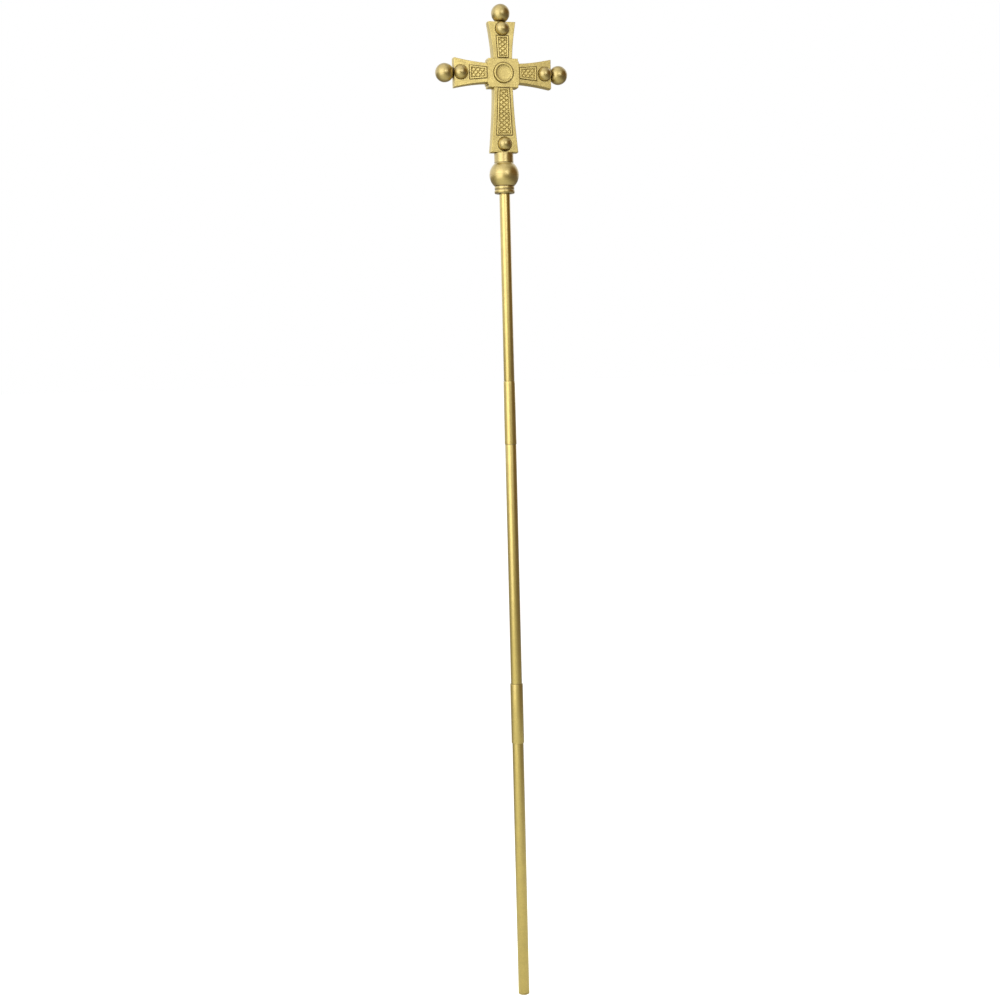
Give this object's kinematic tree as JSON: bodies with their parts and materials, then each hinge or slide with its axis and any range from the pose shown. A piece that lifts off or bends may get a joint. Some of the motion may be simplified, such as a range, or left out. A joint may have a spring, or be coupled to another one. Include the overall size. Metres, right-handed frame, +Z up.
{
  "type": "processional cross",
  "caption": "Gold processional cross: flared two-sided cross with domed studs, ball finials and lattice panels on a knop, carried on a take-down tubular pole.",
  "frame": {"origin": "middle of the foot's flat underside, the lowest point of the pole", "axes": "+Z up along the pole to the top finial, -Y out of the front of the cross, +X to the right as the front is seen"},
  "size_m": [0.2408, 0.0526, 1.8],
  "materials": {
    "satin_gold_casting": "cast, gold lacquer, satin with a fine grain",
    "relief_gold_casting": "cast relief, gold lacquer, darker in its recesses",
    "bright_gold_turning": "turned and spun brass, semi-bright lacquer",
    "gold_tube": "drawn tube, gold anodised, semi-bright",
    "bare_metal": "plain machined, hidden inside"
  },
  "bodies": {
    "lower_section": {"foot_plug": "gold_tube", "lower_tube": "gold_tube", "coupling_sleeve": "gold_tube"},
    "middle_section": {"middle_tube": "gold_tube", "middle_spigot": "bare_metal"},
    "upper_section": {"upper_ferrule": "gold_tube", "upper_spigot": "bare_metal", "upper_tube": "gold_tube"},
    "knop_section": {"socket_core": "bare_metal", "socket_collar": "bright_gold_turning", "knop_lower": "bright_gold_turning", "knop_upper": "bright_gold_turning"},
    "cross_section": {"ball_peg_left": "bare_metal", "ball_peg_right": "bare_metal", "ball_peg_top": "bare_metal", "cross_shell_back": "satin_gold_casting", "cross_shell_front": "satin_gold_casting", "finial_ball_left": "bright_gold_turning", "finial_ball_right": "bright_gold_turning", "finial_ball_top": "bright_gold_turning", "inner_frame": "bare_metal", "medallion_disc_back": "satin_gold_casting", "medallion_disc_front": "satin_gold_casting", "medallion_ring_back": "satin_gold_casting", "medallion_ring_front": "satin_gold_casting", "neck": "bright_gold_turning", "panel_bottom_back": "relief_gold_casting", "panel_bottom_front": "relief_gold_casting", "panel_left_back": "relief_gold_casting", "panel_left_front": "relief_gold_casting", "panel_right_back": "relief_gold_casting", "panel_right_front": "relief_gold_casting", "panel_top_back": "relief_gold_casting", "panel_top_front": "relief_gold_casting", "stud_bottom_back": "bright_gold_turning", "stud_bottom_front": "bright_gold_turning", "stud_left_back": "bright_gold_turning", "stud_left_front": "bright_gold_turning", "stud_right_back": "bright_gold_turning", "stud_right_front": "bright_gold_turning", "stud_rod_bottom": "bare_metal", "stud_rod_left": "bare_metal", "stud_rod_right": "bare_metal", "stud_rod_top": "bare_metal", "stud_top_back": "bright_gold_turning", "stud_top_front": "bright_gold_turning"}
  },
  "joints": [
    {"name": "middle_pull", "type": "slide", "parent": "lower_section", "child": "middle_section", "axis": [0, 0, 1], "range_m": [0, 0.045]},
    {"name": "upper_pull", "type": "slide", "parent": "middle_section", "child": "upper_section", "axis": [0, 0, 1], "range_m": [0, 0.085]},
    {"name": "head_swivel", "type": "hinge", "parent": "upper_section", "child": "knop_section", "pos_m": [0, 0, 1.5022], "axis": [0, 0, 1], "continuous": true},
    {"name": "cross_lift", "type": "slide", "parent": "knop_section", "child": "cross_section", "axis": [0, 0, 1], "range_m": [0, 0.012]}
  ]
}
